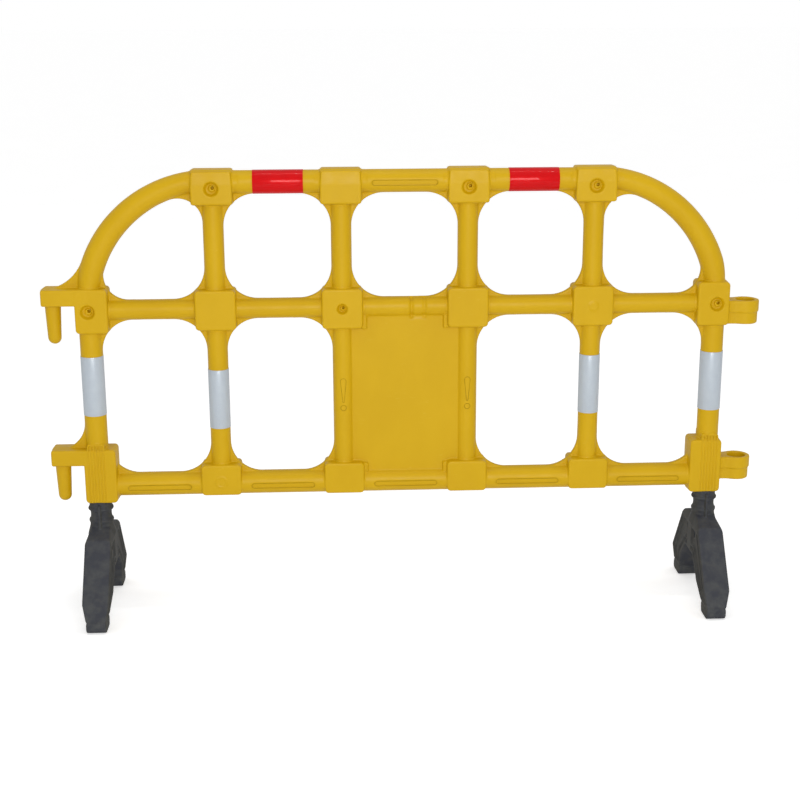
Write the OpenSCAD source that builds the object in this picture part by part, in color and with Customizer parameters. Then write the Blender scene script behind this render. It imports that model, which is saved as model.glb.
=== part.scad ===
// Plastic crowd barrier: one hollow moulded frame with six uprights, three rails, round
// shoulders and a sign panel, link hooks at one end, link eyes at the other, slip-on
// reflective sleeves, and two rubber feet that swivel in sockets under the end uprights.
//
// X runs along the barrier, the front faces -Y and Z is up. The origin is on the ground
// below the middle of the barrier. The moulding is drawn as regions that butt face to face
// across its tubes, so that every window and every tube stays open.

/* [Overall] */
// Distance between the axes of neighbouring uprights, and the radius of the shoulders
post_pitch = 262; // [240:1:320]
// Height of the lower bays, from the bottom rail's axis to the mid rail's axis
lower_bay_h = 380; // [340:1:470]
// Clear height from the ground to the underside of the foot sockets
stand_h = 245; // [205:1:300]
// How far the hooks and the eyes reach past the axes of the end uprights
link_reach = 95; // [90:1:115]

/* [Tubes] */
// Diameter of the top rail
top_rail_d = 47; // [40:0.5:50]
// Diameter of the shoulders
shoulder_d = 44; // [38:0.5:50]
// Diameter of the mid rail
mid_rail_d = 42; // [36:0.5:50]
// Diameter of the bottom rail
bottom_rail_d = 50; // [42:0.5:52]
// Diameter of the four inner uprights
inner_post_d = 42; // [36:0.5:50]
// Diameter of the two end uprights
end_post_d = 46; // [40:0.5:50]
// Thickness of the moulded wall
wall = 4; // [3:0.5:5]

/* [Corner webs] */
// Radius of the window corners between a rail and an upright
corner_r = 67; // [40:1:70]
// Radius of the window corners at the two ends of each shoulder
shoulder_corner_r = 50; // [35:1:58]
// Thickness of the flat webs that fill the corners
web_t = 12; // [8:1:20]
// Radius of the concave edge above each hook arm
gusset_r = 50; // [40:1:60]
// Rise of the concave edge above the upper hook arm
upper_gusset_rise = 49; // [35:1:49]
// Rise of the concave edge above the lower hook arm
lower_gusset_rise = 44; // [35:1:49]
// Radius of the window corner between a foot socket's upright and the bottom rail
socket_corner_r = 67; // [50:1:70]
// Length of the small gusset under the bottom rail at each foot socket
socket_heel = 22; // [12:1:28]

/* [Knuckles] */
// Depth of every knuckle from front to back
knuckle_depth = 56; // [55:0.5:64]
// Width of the knuckles on the inner uprights
knuckle_w = 86; // [70:1:100]
// Height of the knuckles on the mid rail
mid_knuckle_h = 85; // [60:1:100]
// Top knuckle's height above the top rail's axis
top_knuckle_up = 32; // [27:1:40]
// Top knuckle's height below the top rail's axis
top_knuckle_down = 43; // [30:1:55]
// Bottom knuckle's height above the bottom rail's axis
bottom_knuckle_up = 46; // [30:1:60]
// How far the bottom knuckle stands below the bottom rail's tube
bottom_knuckle_lip = 1; // [0:0.5:4]
// How far the end knuckles and foot sockets reach inwards from the end upright's axis
end_block_in = 42; // [30:1:50]
// How far the end knuckles and foot sockets reach outwards from the end upright's axis
end_block_out = 27; // [26:1:34]
// Upper end knuckle's height above the mid rail's axis
end_block_up = 48; // [36:1:60]
// Upper end knuckle's height below the mid rail's axis
end_block_down = 46; // [36:1:60]
// Corner radius of every knuckle, seen from the front
knuckle_corner_r = 8; // [2:1:9]
// Mouth diameter of the round blow points in the knuckles
blow_point_d = 29; // [20:1:32]
// Depth of the blow points
blow_point_depth = 9; // [4:1:14]

/* [Foot sockets] */
// Foot socket's height above the bottom rail's axis
socket_up = 84; // [70:1:100]
// Foot socket's height below the bottom rail's axis
socket_down = 35; // [30:1:45]
// Diameter of the round spigot on the foot
spigot_d = 48; // [38:0.5:48]
// Gap all round the spigot, and above it
spigot_clearance = 0.3; // [0.2:0.1:0.6]
// Depth of the socket
socket_depth = 90; // [60:1:100]
// Wall of the socket tube
socket_wall = 3; // [2:0.5:4]
// Number of moulded ridges down the front and the back of a socket
ridge_count = 6; // [2:1:8]
// Distance between neighbouring ridges
ridge_pitch = 6.5; // [4:0.5:8]
// Diameter of the half-round ridges
ridge_d = 3; // [2:0.5:4]

/* [Links] */
// Height of a hook's arm
hook_arm_h = 36; // [28:1:44]
// Distance from the end upright's axis to the hook's peg
peg_offset = 74; // [70:1:80]
// Diameter of the straight part of the peg
peg_d = 29; // [20:0.5:32]
// Diameter of the peg's root, under the arm
peg_root_d = 33; // [30:0.5:38]
// Length of the taper at the peg's root
peg_root_len = 18; // [8:1:30]
// Length of the peg below the arm
peg_len = 82; // [60:1:100]
// Gap all round the peg of one barrier in the eye of the next
link_clearance = 5; // [2:0.5:8]
// Gap between the hook's arm and the eye that it hooks over
link_drop_clearance = 6; // [2:1:12]
// Wall of the eye round its hole
eye_wall = 9.5; // [6:0.5:12]
// Height of the eyes
eye_h = 50; // [30:1:60]
// Depth of the neck that carries an eye, from front to back
eye_neck_depth = 46; // [30:1:52]

/* [Sign panel] */
// Thickness of the sign panel
panel_t = 20; // [14:1:30]
// Gap between the panel and the tubes and knuckles round it
panel_seam = 0.1; // [0.05:0.05:0.3]

/* [Reflective sleeves] */
// Thickness of the sleeves
sleeve_t = 0.8; // [0.5:0.1:2]
// Gap between a sleeve and its tube
sleeve_gap = 0.1; // [0.05:0.05:0.3]
// Height of the white sleeves on the lower uprights
white_sleeve_h = 127; // [90:1:130]
// Distance from an upright's axis to the end of the red sleeve beside it
red_sleeve_setback = 79.5; // [70:0.5:100]
// Drop from the mid rail's axis to the middle of the first white sleeve
sleeve_drop_1 = 160; // [150:1:175]
// Drop to the middle of the second white sleeve
sleeve_drop_2 = 192; // [150:1:195]
// Drop to the middle of the third white sleeve
sleeve_drop_3 = 171; // [150:1:195]
// Drop to the middle of the fourth white sleeve
sleeve_drop_4 = 168; // [150:1:175]

/* [Feet] */
// Length of a foot from its front toe to its back toe
foot_len = 308; // [250:1:380]
// Width of a foot
foot_w = 56; // [44:1:70]
// Width of a foot at its soles
sole_w = 43; // [36:1:60]
// Length of each sole
sole_len = 48; // [30:1:60]
// Height of the sole blocks
sole_h = 24; // [12:1:30]
// Length of the neck between the socket and the foot's crown
neck_len = 55; // [40:1:70]
// Diameter of the two rings round the neck
neck_ring_d = 54; // [50:0.5:60]
// Distance from the socket down to the upper ring
neck_ring_1 = 17; // [12:1:24]
// Distance from the socket down to the lower ring
neck_ring_2 = 43; // [34:1:48]
// Diameter of the neck between the rings
neck_d = 44; // [36:0.5:47]
// Length of the foot's flat crown from front to back
crown_len = 132; // [100:1:150]
// Drop of the crown from the neck to its corners
crown_drop = 14; // [6:1:24]
// Width of the crown's top, between its sloping sides
crown_top_w = 40; // [30:1:46]
// Thickness of each leg, square to its slope
leg_t = 58; // [40:1:70]
// Depth of the pockets in the sides of the legs
pocket_depth = 7; // [3:0.5:12]
// Width of the rim and of the rib between the pockets
pocket_rib = 8; // [5:0.5:12]

/* [Hidden] */
$fn = 96;

yellow = "#d6ad28";
red = "#e41d27";
white = "#c6ced6";
black = "#45474c";

// Heights of the rails and places of the six uprights
bottom_z = stand_h + socket_down;
mid_z = bottom_z + lower_bay_h;
top_z = mid_z + post_pitch;
post_count = 6;
end_x = post_x(post_count);

top_r = top_rail_d / 2;
shoulder_r = shoulder_d / 2;
mid_r = mid_rail_d / 2;
bottom_r = bottom_rail_d / 2;
inner_r = inner_post_d / 2;
end_r = end_post_d / 2;

// Where each region of the moulding ends, measured from its junction
cross_x = inner_r + corner_r;
red_sleeve_l = post_pitch - 2 * red_sleeve_setback;
top_cut = top_r + corner_r;
mid_cut = mid_r + corner_r;
bottom_cut = bottom_r + corner_r;
// The circle in a shoulder's corner touches the shoulder's inner side and a straight tube
corner_dist = post_pitch - shoulder_r - shoulder_corner_r;
mid_corner_x = sqrt(pow(corner_dist, 2) - pow(mid_r + shoulder_corner_r, 2));
post_corner_z = sqrt(pow(corner_dist, 2) - pow(inner_r + shoulder_corner_r, 2));
low_angle = asin((mid_r + shoulder_corner_r) / corner_dist);
high_angle = acos((inner_r + shoulder_corner_r) / corner_dist);
shoulder_post_cut = max(post_pitch - post_corner_z, top_cut);
end_rail_cut = max(post_pitch - mid_corner_x, end_r + corner_r);
socket_rail_cut = end_r + socket_corner_r;
socket_top_cut = socket_up + lower_gusset_rise;

spigot_r = spigot_d / 2;
socket_r = spigot_r + spigot_clearance;
socket_roof_z = stand_h + socket_depth;
eye_hole_r = peg_d / 2 + link_clearance;
eye_r = eye_hole_r + eye_wall;
eye_offset = link_reach - eye_r;
upper_arm_top = mid_z + end_block_up;
lower_arm_top = bottom_z + socket_up;
foot_top_z = stand_h - neck_len;
cut = 1;  // how far a cutting shape runs past the face that it opens

function post_x(i) = (i - (post_count + 1) / 2) * post_pitch;

// ---- shared shapes -------------------------------------------------------------------

module along_x(x0, x1, r) {
    translate([x0, 0, 0]) rotate([0, 90, 0]) cylinder(h = x1 - x0, r = r);
}

module along_z(z0, z1, r) {
    translate([0, 0, z0]) cylinder(h = z1 - z0, r = r);
}

// A flat shape drawn in X and Z, given a thickness from front to back
module flat(t) {
    rotate([90, 0, 0]) linear_extrude(t, center = true) children();
}

module rounded_rect(x0, x1, z0, z1, r) {
    translate([x0 + r, z0]) square([x1 - x0 - 2 * r, z1 - z0]);
    translate([x0, z0 + r]) square([x1 - x0, z1 - z0 - 2 * r]);
    for (x = [x0 + r, x1 - r], z = [z0 + r, z1 - r]) translate([x, z]) circle(r);
}

module knuckle_block(x0, x1, z0, z1, inset) {
    flat(knuckle_depth - 2 * inset)
        rounded_rect(x0 + inset, x1 - inset, z0 + inset, z1 - inset,
                     max(knuckle_corner_r - inset, 1));
}

// The web in the corner at +X and +Z between a rail and an upright
module corner_web(post_r, rail_r, r) {
    flat(web_t) difference() {
        square([post_r + r, rail_r + r]);
        translate([post_r + r, rail_r + r]) circle(r);
    }
}

// A stretch of shoulder tube about the origin, from angle a0 to angle a1 above +X
module shoulder_arc(a0, a1, r) {
    rotate([90, 0, 0]) rotate([0, 0, a0]) rotate_extrude(angle = a1 - a0)
        translate([post_pitch, 0]) circle(r);
}

module straight_tube(length, r) {
    difference() {
        cylinder(h = length, r = r);
        translate([0, 0, -cut]) cylinder(h = length + 2 * cut, r = r - wall);
    }
}

// The dished blow point in a knuckle's front face, and the cup of wall behind it
module blow_point_cup(z) {
    translate([0, -knuckle_depth / 2, z]) rotate([-90, 0, 0])
        cylinder(h = blow_point_depth + wall, r = blow_point_d / 2 + wall / 2);
}

module blow_point_dish(z) {
    translate([0, -knuckle_depth / 2, z]) rotate([-90, 0, 0])
        cylinder(h = blow_point_depth, r1 = blow_point_d / 2, r2 = blow_point_d / 2 - wall);
}

// ---- junctions on the inner uprights ---------------------------------------------------

// left and right say whether a web fills the corner on that side, below the top rail
module top_junction(blow) {
    difference() {
        union() {
            knuckle_block(-knuckle_w / 2, knuckle_w / 2, -top_knuckle_down, top_knuckle_up, 0);
            along_x(-cross_x, cross_x, top_r);
            along_z(-top_cut, 0, inner_r);
            for (s = [0, 1]) mirror([s, 0, 0]) mirror([0, 0, 1]) corner_web(inner_r, top_r, corner_r);
        }
        difference() {
            union() {
                knuckle_block(-knuckle_w / 2, knuckle_w / 2, -top_knuckle_down, top_knuckle_up, wall);
                along_x(-cross_x - cut, cross_x + cut, top_r - wall);
                along_z(-top_cut - cut, 0, inner_r - wall);
            }
            if (blow) blow_point_cup(-top_knuckle_down / 4);
        }
        if (blow) blow_point_dish(-top_knuckle_down / 4);
    }
}

// The junction where the top rail becomes the right shoulder
module shoulder_junction() {
    difference() {
        union() {
            knuckle_block(-knuckle_w / 2, knuckle_w / 2, -top_knuckle_down, top_knuckle_up, 0);
            along_x(-cross_x, 0, top_r);
            along_z(-shoulder_post_cut, 0, inner_r);
            translate([0, 0, -post_pitch]) shoulder_arc(high_angle, 90, shoulder_r);
            mirror([1, 0, 0]) mirror([0, 0, 1]) corner_web(inner_r, top_r, corner_r);
            translate([0, 0, -post_pitch]) flat(web_t) difference() {
                polygon([
                    [0, post_pitch],
                    [0, post_corner_z],
                    [inner_r + shoulder_corner_r, post_corner_z],
                    [post_pitch * cos(high_angle), post_pitch * sin(high_angle)]]);
                translate([inner_r + shoulder_corner_r, post_corner_z]) circle(shoulder_corner_r);
            }
        }
        difference() {
            union() {
                knuckle_block(-knuckle_w / 2, knuckle_w / 2, -top_knuckle_down, top_knuckle_up, wall);
                along_x(-cross_x - cut, 0, top_r - wall);
                along_z(-shoulder_post_cut - cut, 0, inner_r - wall);
                translate([0, 0, -post_pitch]) shoulder_arc(high_angle - 1, 90, shoulder_r - wall);
            }
            blow_point_cup(-top_knuckle_down / 4);
        }
        blow_point_dish(-top_knuckle_down / 4);
    }
}

// web_left and web_right say whether the corners below the mid rail are open windows
module mid_junction(web_left, web_right, blow) {
    half_h = mid_knuckle_h / 2;
    difference() {
        union() {
            knuckle_block(-knuckle_w / 2, knuckle_w / 2, -half_h, half_h, 0);
            along_x(-cross_x, cross_x, mid_r);
            along_z(-mid_cut, mid_cut, inner_r);
            corner_web(inner_r, mid_r, corner_r);
            mirror([1, 0, 0]) corner_web(inner_r, mid_r, corner_r);
            if (web_right) mirror([0, 0, 1]) corner_web(inner_r, mid_r, corner_r);
            if (web_left) mirror([1, 0, 0]) mirror([0, 0, 1]) corner_web(inner_r, mid_r, corner_r);
        }
        difference() {
            union() {
                knuckle_block(-knuckle_w / 2, knuckle_w / 2, -half_h, half_h, wall);
                along_x(-cross_x - cut, cross_x + cut, mid_r - wall);
                along_z(-mid_cut - cut, mid_cut + cut, inner_r - wall);
            }
            if (blow) blow_point_cup(0);
        }
        if (blow) blow_point_dish(0);
    }
}

module bottom_junction(web_left, web_right) {
    low = -bottom_r - bottom_knuckle_lip;
    difference() {
        union() {
            knuckle_block(-knuckle_w / 2, knuckle_w / 2, low, bottom_knuckle_up, 0);
            along_x(-cross_x, cross_x, bottom_r);
            along_z(0, bottom_cut, inner_r);
            if (web_right) corner_web(inner_r, bottom_r, corner_r);
            if (web_left) mirror([1, 0, 0]) corner_web(inner_r, bottom_r, corner_r);
        }
        knuckle_block(-knuckle_w / 2, knuckle_w / 2, low, bottom_knuckle_up, wall);
        along_x(-cross_x - cut, cross_x + cut, bottom_r - wall);
        along_z(0, bottom_cut + cut, inner_r - wall);
    }
}

// ---- ends of the moulding, drawn for the right-hand end --------------------------------

module upper_end(gusset) {
    gusset_z = end_block_up + upper_gusset_rise;
    gusset_dist = post_pitch + shoulder_r + gusset_r;
    gusset_x = sqrt(pow(gusset_dist, 2) - pow(gusset_z, 2));
    gusset_angle = asin(gusset_z / gusset_dist);
    difference() {
        union() {
            knuckle_block(-end_block_in, end_block_out, -end_block_down, end_block_up, 0);
            along_x(-end_rail_cut, 0, mid_r);
            along_z(-mid_cut, 0, end_r);
            translate([-post_pitch, 0, 0]) shoulder_arc(0, low_angle, shoulder_r);
            mirror([1, 0, 0]) mirror([0, 0, 1]) corner_web(end_r, mid_r, corner_r);
            translate([-post_pitch, 0, 0]) flat(web_t) difference() {
                polygon([
                    [post_pitch, 0],
                    [mid_corner_x, 0],
                    [mid_corner_x, mid_r + shoulder_corner_r],
                    [post_pitch * cos(low_angle), post_pitch * sin(low_angle)]]);
                translate([mid_corner_x, mid_r + shoulder_corner_r]) circle(shoulder_corner_r);
            }
            if (gusset) translate([-post_pitch, 0, 0]) flat(web_t) difference() {
                polygon([
                    [post_pitch, end_block_up],
                    [gusset_x, end_block_up],
                    [gusset_x, gusset_z],
                    [post_pitch * cos(gusset_angle), post_pitch * sin(gusset_angle)]]);
                translate([gusset_x, gusset_z]) circle(gusset_r);
            }
        }
        difference() {
            union() {
                knuckle_block(-end_block_in, end_block_out, -end_block_down, end_block_up, wall);
                along_x(-end_rail_cut - cut, 0, mid_r - wall);
                along_z(-mid_cut - cut, 0, end_r - wall);
                translate([-post_pitch, 0, 0]) shoulder_arc(0, low_angle + 1, shoulder_r - wall);
            }
            blow_point_cup(0);
        }
        blow_point_dish(0);
    }
}

module foot_socket(gusset) {
    ridge_x0 = -(ridge_count - 1) / 2 * ridge_pitch;
    ridge_top = socket_up + ridge_pitch * 2;
    difference() {
        union() {
            difference() {
                union() {
                    knuckle_block(-end_block_in, end_block_out, -socket_down, socket_up, 0);
                    along_x(-socket_rail_cut, 0, bottom_r);
                    along_z(0, socket_top_cut, end_r);
                    mirror([1, 0, 0]) corner_web(end_r, bottom_r, socket_corner_r);
                    flat(web_t) polygon([
                        [-end_block_in, 0],
                        [-end_block_in - socket_heel, -bottom_r + 1],
                        [-end_block_in, -socket_down + knuckle_corner_r]]);
                    if (gusset) flat(web_t) difference() {
                        translate([0, socket_up])
                            square([end_r + gusset_r, lower_gusset_rise]);
                        translate([end_r + gusset_r, socket_top_cut]) circle(gusset_r);
                    }
                    for (i = [0 : ridge_count - 1], y = [-1, 1])
                        translate([ridge_x0 + i * ridge_pitch, y * knuckle_depth / 2, 0])
                            along_z(-socket_down + ridge_d, socket_up - ridge_d, ridge_d / 2);
                }
                knuckle_block(-end_block_in, end_block_out, -socket_down, socket_up, wall);
                along_x(-socket_rail_cut - cut, 0, bottom_r - wall);
                along_z(0, socket_top_cut + cut, end_r - wall);
            }
            intersection() {
                along_z(-socket_down, socket_depth - socket_down + wall, socket_r + socket_wall);
                knuckle_block(-end_block_in, end_block_out, -socket_down, socket_up, 0);
            }
        }
        along_z(-socket_down - cut, socket_depth - socket_down, socket_r);
    }
}

// A hook, drawn for the right-hand end: the arm's top is at z = 0 and x starts at the upright
module hook() {
    peg_straight = peg_len - peg_root_len - peg_d / 2;
    difference() {
        flat(knuckle_depth) rounded_rect(end_block_out - knuckle_corner_r, link_reach,
                                         -hook_arm_h, 0, knuckle_corner_r);
        translate([0, 0, -hook_arm_h / 2])
            cube([2 * end_block_out, knuckle_depth + cut, hook_arm_h + cut], center = true);
        translate([end_block_out - cut, -knuckle_depth / 2 + wall, -hook_arm_h + wall])
            cube([link_reach - end_block_out + cut - wall, knuckle_depth - 2 * wall,
                  hook_arm_h - 2 * wall]);
    }
    translate([peg_offset, 0, -hook_arm_h]) mirror([0, 0, 1]) {
        cylinder(h = peg_root_len, r1 = peg_root_d / 2, r2 = peg_d / 2);
        along_z(peg_root_len, peg_root_len + peg_straight, peg_d / 2);
        translate([0, 0, peg_root_len + peg_straight]) intersection() {
            sphere(peg_d / 2);
            along_z(0, peg_d, peg_d);
        }
    }
}

// An eye, drawn with its top at z = 0
module eye() {
    difference() {
        union() {
            translate([eye_offset, 0, 0]) along_z(-eye_h, 0, eye_r);
            translate([end_block_out, -eye_neck_depth / 2, -eye_h])
                cube([eye_offset - end_block_out, eye_neck_depth, eye_h]);
        }
        translate([eye_offset, 0, 0]) along_z(-eye_h - cut, cut, eye_hole_r);
    }
}

// ---- the foot ----------------------------------------------------------------------------

// Side view of a foot, drawn in Y and Z, with the arch between its two legs
function toe_line() = [
    [foot_len / 2 - sole_h / 4, 0],
    [foot_len / 2, sole_h / 4],
    [foot_len / 2, sole_h],
    [foot_len / 2 - 6, foot_top_z / 3],
    [crown_len / 2, foot_top_z - crown_drop],
    [spigot_r, foot_top_z]];

module foot_side() {
    arch_y = foot_len / 2 - sole_len;
    arch_top = foot_top_z - leg_t * 1.5;
    knee_y = crown_len / 2;
    knee_z = foot_top_z - crown_drop - leg_t * 1.8;
    difference() {
        union() for (s = [0, 1]) mirror([s, 0]) polygon(concat([[0, 0]], toe_line(), [[0, foot_top_z]]));
        for (s = [0, 1]) mirror([s, 0]) polygon([
            [-cut, -cut],
            [arch_y, -cut],
            [arch_y - sole_h / 4, sole_h],
            [knee_y, knee_z],
            [knee_y / 2, arch_top],
            [-cut, arch_top]]);
    }
}

// Front view of a foot, drawn in X and Z
module foot_front() {
    polygon([
        [-sole_w / 2, 0],
        [sole_w / 2, 0],
        [sole_w / 2, sole_h],
        [foot_w / 2, foot_top_z / 3],
        [foot_w / 2, foot_top_z - crown_drop - (foot_w - crown_top_w) / 2],
        [crown_top_w / 2, foot_top_z],
        [-crown_top_w / 2, foot_top_z],
        [-foot_w / 2, foot_top_z - crown_drop - (foot_w - crown_top_w) / 2],
        [-foot_w / 2, foot_top_z / 3],
        [-sole_w / 2, sole_h]]);
}

// Two long pockets down the side of a leg, drawn in Y and Z
module leg_pockets() {
    outer_top = [crown_len / 2 - pocket_rib * 1.5, foot_top_z - crown_drop - pocket_rib * 2];
    outer_low = [foot_len / 2 - pocket_rib * 1.6, sole_h + pocket_rib * 3];
    strip = (leg_t - 4 * pocket_rib) / 2;
    slope = outer_low - outer_top;
    inward = [slope[1], -slope[0]] / norm(slope);
    for (i = [0, 1]) {
        a = outer_top + inward * i * (strip + pocket_rib);
        b = outer_low + inward * i * (strip + pocket_rib);
        inset = slope / norm(slope) * i * pocket_rib * 2;
        polygon([a + inset, b - inset, b - inset + inward * strip, a + inset + inward * strip]);
    }
}

module neck() {
    z1 = stand_h - neck_ring_1;
    z2 = stand_h - neck_ring_2;
    ring_r = neck_ring_d / 2;
    ring_h = (neck_ring_d - neck_d) / 2;
    rotate_extrude() polygon([
        [0, foot_top_z - cut],
        [spigot_r, foot_top_z - cut],
        [neck_d / 2, z2 - ring_h],
        [ring_r - 1, z2 - ring_h / 2],
        [ring_r - 1, z2 + ring_h / 2],
        [neck_d / 2, z2 + ring_h],
        [neck_d / 2, z1 - ring_h],
        [ring_r, z1 - ring_h / 2],
        [ring_r, z1 + ring_h / 2],
        [spigot_r, z1 + ring_h],
        [0, z1 + ring_h]]);
}

module foot() {
    fin_t = 5;
    spigot_top = socket_roof_z - spigot_clearance;
    along_z(stand_h - neck_ring_1, spigot_top - spigot_r / 4, spigot_r);
    translate([0, 0, spigot_top - spigot_r / 4])
        cylinder(h = spigot_r / 4, r1 = spigot_r, r2 = spigot_r * 3 / 4);
    neck();
    translate([-fin_t / 2, -neck_ring_d / 2 - 1, foot_top_z - crown_drop])
        cube([fin_t, neck_ring_d + 2, neck_len + crown_drop - neck_ring_1 / 4]);
    difference() {
        intersection() {
            rotate([90, 0, 90]) linear_extrude(foot_w, center = true) foot_side();
            flat(foot_len) foot_front();
        }
        for (side = [-1, 1], s = [0, 1])
            translate([side * (foot_w / 2 + cut - pocket_depth / 2), 0, 0]) mirror([0, s, 0])
                rotate([90, 0, 90]) linear_extrude(pocket_depth + 2 * cut, center = true)
                    leg_pockets();
    }
}

// ---- sub-parts -----------------------------------------------------------------------------

module top_knuckle(i) {
    color(yellow) translate([post_x(i + 1), 0, top_z]) {
        if (i == 1) mirror([1, 0, 0]) shoulder_junction();
        if (i == 4) shoulder_junction();
        if (i == 2) top_junction(false);
        if (i == 3) top_junction(true);
    }
}

module top_rail(i) {
    color(yellow) translate([post_x(i) + cross_x, 0, top_z]) rotate([0, 90, 0])
        straight_tube(post_pitch - 2 * cross_x, top_r);
}

module shoulder(side) {
    color(yellow) mirror([side < 0 ? 1 : 0, 0, 0]) translate([post_x(5), 0, mid_z]) difference() {
        shoulder_arc(low_angle, high_angle, shoulder_r);
        shoulder_arc(low_angle - 1, high_angle + 1, shoulder_r - wall);
    }
}

module upper_post(i) {
    top = i == 1 || i == 4 ? shoulder_post_cut : top_cut;
    color(yellow) translate([post_x(i + 1), 0, mid_z + mid_cut])
        straight_tube(post_pitch - mid_cut - top, inner_r);
}

module upper_end_left() {
    color(yellow) translate([-end_x, 0, mid_z]) mirror([1, 0, 0]) upper_end(true);
}

module upper_end_right() {
    color(yellow) translate([end_x, 0, mid_z]) upper_end(false);
}

module mid_knuckle(i) {
    color(yellow) translate([post_x(i + 1), 0, mid_z]) mid_junction(i != 3, i != 2, i == 2);
}

module mid_rail(i) {
    left = i == 1 ? end_rail_cut : cross_x;
    right = i == 5 ? end_rail_cut : cross_x;
    color(yellow) translate([post_x(i) + left, 0, mid_z]) rotate([0, 90, 0])
        straight_tube(post_pitch - left - right, mid_r);
}

module lower_post(i) {
    at_end = i == 1 || i == post_count;
    low = at_end ? socket_top_cut : bottom_cut;
    color(yellow) translate([post_x(i), 0, bottom_z + low])
        straight_tube(lower_bay_h - low - mid_cut, at_end ? end_r : inner_r);
}

module foot_socket_left() {
    color(yellow) translate([-end_x, 0, bottom_z]) mirror([1, 0, 0]) foot_socket(true);
}

module foot_socket_right() {
    color(yellow) translate([end_x, 0, bottom_z]) foot_socket(false);
}

module bottom_knuckle(i) {
    color(yellow) translate([post_x(i + 1), 0, bottom_z]) bottom_junction(i != 3, i != 2);
}

module bottom_rail(i) {
    left = i == 1 ? socket_rail_cut : cross_x;
    right = i == 5 ? socket_rail_cut : cross_x;
    color(yellow) translate([post_x(i) + left, 0, bottom_z]) rotate([0, 90, 0])
        straight_tube(post_pitch - left - right, bottom_r);
}

// A hollow flat panel that fills the middle lower bay, cut to the tubes and knuckles round it
module sign_panel() {
    half_w = post_pitch / 2;
    grow = panel_seam;
    color(yellow) difference() {
        translate([-half_w, -panel_t / 2, bottom_z]) cube([2 * half_w, panel_t, lower_bay_h]);
        translate([-half_w + inner_r + 2 * wall, -panel_t / 2 + wall, bottom_z - cut])
            cube([2 * (half_w - inner_r - 2 * wall), panel_t - 2 * wall, lower_bay_h + 2 * cut]);
        for (x = [-half_w, half_w]) {
            translate([x, 0, 0]) along_z(bottom_z - cut, mid_z + cut, inner_r + grow);
            translate([x, 0, mid_z]) knuckle_block(-knuckle_w / 2, knuckle_w / 2,
                -mid_knuckle_h / 2, mid_knuckle_h / 2, -grow);
            translate([x, 0, bottom_z]) knuckle_block(-knuckle_w / 2, knuckle_w / 2,
                -bottom_r - bottom_knuckle_lip, bottom_knuckle_up, -grow);
        }
        translate([0, 0, mid_z]) along_x(-half_w - cut, half_w + cut, mid_r + grow);
        translate([0, 0, bottom_z]) along_x(-half_w - cut, half_w + cut, bottom_r + grow);
    }
}

module upper_hook() {
    color(yellow) translate([-end_x, 0, upper_arm_top]) mirror([1, 0, 0]) hook();
}

module lower_hook() {
    color(yellow) translate([-end_x, 0, lower_arm_top]) mirror([1, 0, 0]) hook();
}

module upper_eye() {
    color(yellow) translate([end_x, 0, upper_arm_top - hook_arm_h - link_drop_clearance]) eye();
}

module lower_eye() {
    color(yellow) translate([end_x, 0, lower_arm_top - hook_arm_h - link_drop_clearance]) eye();
}

module sleeve(length, r) {
    difference() {
        cylinder(h = length, r = r + sleeve_gap + sleeve_t, center = true);
        cylinder(h = length + 2 * cut, r = r + sleeve_gap, center = true);
    }
}

// A red sleeve is slit at its ends where the webs under the rail start
module red_sleeve(side) {
    slit_w = web_t + 2 * sleeve_gap;
    color(red) translate([side * post_pitch, 0, top_z]) difference() {
        rotate([0, 90, 0]) sleeve(red_sleeve_l, top_r);
        for (s = [0, 1]) mirror([s, 0, 0])
            translate([post_pitch / 2 - cross_x, -slit_w / 2, -2 * top_r])
                cube([cross_x, slit_w, 2 * top_r]);
    }
}

module white_sleeve(i, post, drop) {
    color(white) translate([post_x(post), 0, mid_z - drop])
        sleeve(white_sleeve_h, post == 1 || post == post_count ? end_r : inner_r);
}

module left_foot() {
    color(black) translate([-end_x, 0, 0]) foot();
}

module right_foot() {
    color(black) translate([end_x, 0, 0]) foot();
}

for (i = [1 : 4]) {
    top_knuckle(i);
    upper_post(i);
    mid_knuckle(i);
    bottom_knuckle(i);
}
for (i = [1 : 5]) {
    mid_rail(i);
    bottom_rail(i);
}
for (i = [1 : 6]) lower_post(i);
top_rail(2);  // top_rail_left
top_rail(3);  // top_rail_centre
top_rail(4);  // top_rail_right
shoulder(-1);  // shoulder_left
shoulder(1);  // shoulder_right
upper_end_left();
upper_end_right();
foot_socket_left();
foot_socket_right();
sign_panel();
upper_hook();
lower_hook();
upper_eye();
lower_eye();
red_sleeve(-1);  // red_sleeve_left
red_sleeve(1);  // red_sleeve_right
white_sleeve(1, 1, sleeve_drop_1);  // white_sleeve_1
white_sleeve(2, 2, sleeve_drop_2);  // white_sleeve_2
white_sleeve(3, 5, sleeve_drop_3);  // white_sleeve_3
white_sleeve(4, 6, sleeve_drop_4);  // white_sleeve_4
left_foot();
right_foot();
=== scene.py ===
import math

import bmesh
import bpy
import numpy as np
from mathutils import Matrix, Vector


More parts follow.
